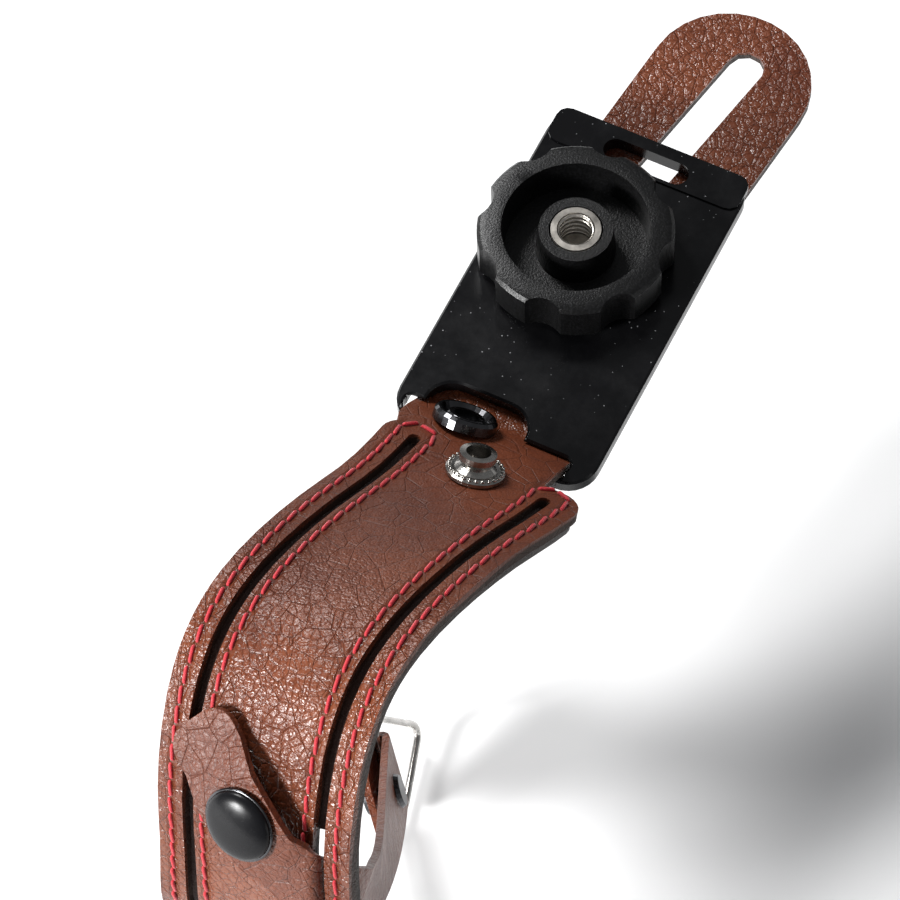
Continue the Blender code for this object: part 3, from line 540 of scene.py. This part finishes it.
stitch = one_stitch()
FACE_HEIGHT = LEATHER_HALF + 0.22 * MM
BACK_HEIGHT = -LINING_BACK - 0.2 * MM
SLANT = 7
rows = [copies(stitch, row_places(-1, FACE_HEIGHT, SLANT), "red_stitches_left"),
        copies(stitch, row_places(1, FACE_HEIGHT, SLANT), "red_stitches_right"),
        copies(stitch, row_places(-1, BACK_HEIGHT, -SLANT), "back_stitches_left")]
bpy.data.objects.remove(stitch, do_unlink=True)
for piece, node in zip(rows, ("left_stitching", "right_stitching", None)):
    if node:
        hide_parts(node)
    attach(piece, "strap")

thread = Paint("red_thread", (0.45, 0.006, 0.02), 0.6)
fibre = thread.noise(5200.0, 3.0, 0.7)
thread.set("Base Color", thread.mix(fibre.ramp(0.3, 0.7), (0.30, 0.002, 0.008), (0.72, 0.010, 0.028)))
thread.bump(fibre, 0.0001)
thread.shader.inputs["Sheen Weight"].default_value = 0.3
for piece in rows:
    give(piece, thread.material)
print("faces of the stitches:", [len(p.data.polygons) for p in rows])

# %% [markdown]
# ## Metal
# The plate is black enamel: dark, glossy, with dust on it. The wheel is cast and painted with a fine
# texture. Edges are rounded so that they catch a thin bright line. The plate's normals are then
# weighted by face area, because a flat glossy face shows any bent normal as a streak.

# %% Plate and wheel
plate = softened("base_plate", "enamelled_plate", "strap", 0.25 * MM, 2, 25)
only(plate)
even = plate.modifiers.new("even_faces", "WEIGHTED_NORMAL")
even.mode = "FACE_AREA"
even.weight = 100
bpy.ops.object.modifier_apply(modifier="even_faces")
wheel = softened("thumb_wheel", "cast_wheel", "wheel", 0.45 * MM, 3, 35)
cap = softened("tab_cap", "domed_cap", "strap", 0.25 * MM, 2, 50)

enamel = Paint("black_enamel", (0.006, 0.0065, 0.0075), 0.22)
dust = (1 - enamel.cells(700.0, "F1").ramp(0.0, 0.11)) * enamel.noise(60.0, 3.0).ramp(0.5, 0.62)
haze = enamel.noise(90.0, 6.0, 0.7).ramp(0.42, 0.75)
ENAMEL_BLACK, DUST_GREY = (0.003, 0.003, 0.0035), (0.5, 0.5, 0.52)
enamel.set("Base Color", enamel.mix(dust * 0.8 + haze * 0.008, ENAMEL_BLACK, DUST_GREY))
enamel.set("Roughness", (haze * 0.12 + dust * 0.4 + 0.16).ramp(0.0, 1.0))
enamel.shader.inputs["Specular IOR Level"].default_value = 0.3
give(plate, enamel.material)

cast = Paint("cast_black", (0.008, 0.008, 0.009), 0.4)
speckle = cast.noise(2600.0, 4.0, 0.6)
cast.set("Base Color", cast.mix(speckle.ramp(0.45, 0.75), (0.003, 0.003, 0.003), (0.010, 0.010, 0.011)))
cast.set("Roughness", (0.22 + speckle * 0.22).ramp(0.0, 1.0))
cast.shader.inputs["Specular IOR Level"].default_value = 0.32
cast.bump(speckle, 0.00008)
give(wheel, cast.material)

satin = Paint("satin_cap", (0.006, 0.006, 0.007), 0.3)
brushed = satin.noise(900.0, 3.0)
satin.set("Roughness", (0.2 + brushed * 0.12).ramp(0.0, 1.0))
satin.shader.inputs["Specular IOR Level"].default_value = 0.18
give(cap, satin.material)
print("plate and wheel are painted")

# %% [markdown]
# ## Bright metal
# Screw and bush carry a quarter-inch thread of 1.27 mm pitch, too fine to model, so it is a bump that
# repeats with the height. The open stud is plain nickel, the other snap parts are blackened.

# %% Nickel
THREAD_PITCH = 1.27 * MM


def nickel_paint(name, colour, rough, threaded):
    paint = Paint(name, colour, rough, 1.0)
    smear = paint.noise(420.0, 4.0, 0.6)
    paint.set("Roughness", (smear * 0.22 + (rough - 0.08)).ramp(0.0, 1.0))
    dark = tuple(v * 0.55 for v in colour)
    paint.set("Base Color", paint.mix(smear.ramp(0.3, 0.7), dark, colour))
    if threaded:
        height = paint.node("ShaderNodeSeparateXYZ", {}, paint.place, output="Z")
        paint.bump((height * (2 * pi / THREAD_PITCH)).sine(), 0.0003)
    return paint.material


bright = nickel_paint("bright_nickel", (0.74, 0.72, 0.69), 0.22, False)
threaded = nickel_paint("threaded_nickel", (0.70, 0.66, 0.60), 0.28, True)
stud_nickel = nickel_paint("stud_nickel", (0.50, 0.48, 0.45), 0.2, False)
black_nickel = nickel_paint("black_nickel", (0.09, 0.09, 0.095), 0.18, False)
for node in ("camera_screw", "tripod_insert"):
    give(NODES[node], threaded)
ring = softened("lug_ring", "wire_ring", "ring", 0.05 * MM, 1, 80)
give(ring, bright)
for node in ("near_stud", "near_stud_rivet"):
    give(NODES[node], stud_nickel)
for node in ("tongue_socket", "tab_socket", "tab_stud",
             "tab_stud_rivet", "belt_rivet", "screw_clip"):
    give(NODES[node], black_nickel)

# %% [markdown]
# ## Beads and rings on the snaps
# The open stud has a beaded rim, and the domed cap sits in a rolled metal ring.

# %% Beads on the stud, ring round the cap
STUD_S, BEAD_CIRCLE, BEADS = 12.5 * MM, 4.75 * MM, 26
BEAD_RADIUS = 0.42 * MM


def bead_master():
    """Ball scaled a little differently along each of its axes."""
    bpy.ops.object.select_all(action="DESELECT")
    bpy.ops.mesh.primitive_uv_sphere_add(segments=10, ring_count=6, radius=BEAD_RADIUS)
    item = bpy.context.object
    bpy.ops.object.mode_set(mode="EDIT")
    bpy.ops.mesh.select_all(action="SELECT")
    bpy.ops.transform.resize(value=(0.8, 1.1, 0.9))
    bpy.ops.object.mode_set(mode="OBJECT")
    bpy.ops.object.shade_smooth()
    return item


stud_base = sheet_place(STUD_S, 0, LEATHER_HALF + 1.25 * MM)
bead = bead_master()
turns = [2 * pi * i / BEADS for i in range(BEADS)]
beads = copies(bead, [stud_base @ Matrix.Rotation(a, 4, "Z") @ Matrix.Translation((BEAD_CIRCLE, 0, 0))
                      for a in turns], "stud_beads")
bpy.data.objects.remove(bead, do_unlink=True)
give(beads, stud_nickel)
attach(beads, "strap")

CAP_RADIUS = 6.4 * MM
CAP_SEAT = 6.25 * MM
bpy.ops.object.select_all(action="DESELECT")
bpy.ops.mesh.primitive_torus_add(major_segments=48, minor_segments=10,
                                 major_radius=CAP_RADIUS + 0.12 * MM, minor_radius=0.3 * MM)
rim = bpy.context.object
bpy.ops.object.mode_set(mode="EDIT")
bpy.ops.mesh.select_all(action="SELECT")
bpy.ops.transform.resize(value=(1, 1, 0.8))
bpy.ops.object.mode_set(mode="OBJECT")
bpy.ops.object.shade_smooth()
rim.matrix_world = sheet_place(TAB_S, TAB_W, CAP_SEAT)
bpy.ops.object.transform_apply(location=True, rotation=True, scale=True)
rim.name = rim.data.name = "cap_rim"
give(rim, black_nickel)
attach(rim, "strap")
print("beads:", BEADS)

# %% [markdown]
# ## Floor finish
# The floor is nearly white and rough, so that it shows the strap's shadow and no reflection.

# %% Floor finish
backdrop = Paint("pale_floor", (0.92, 0.92, 0.92), 0.8)
backdrop.set("Base Color", backdrop.mix(backdrop.noise(3.0, 2.0), (0.91, 0.91, 0.91), (0.94, 0.94, 0.94)))
give(floor, backdrop.material)

# %% [markdown]
# ## End

# %% Finish
print("script done")
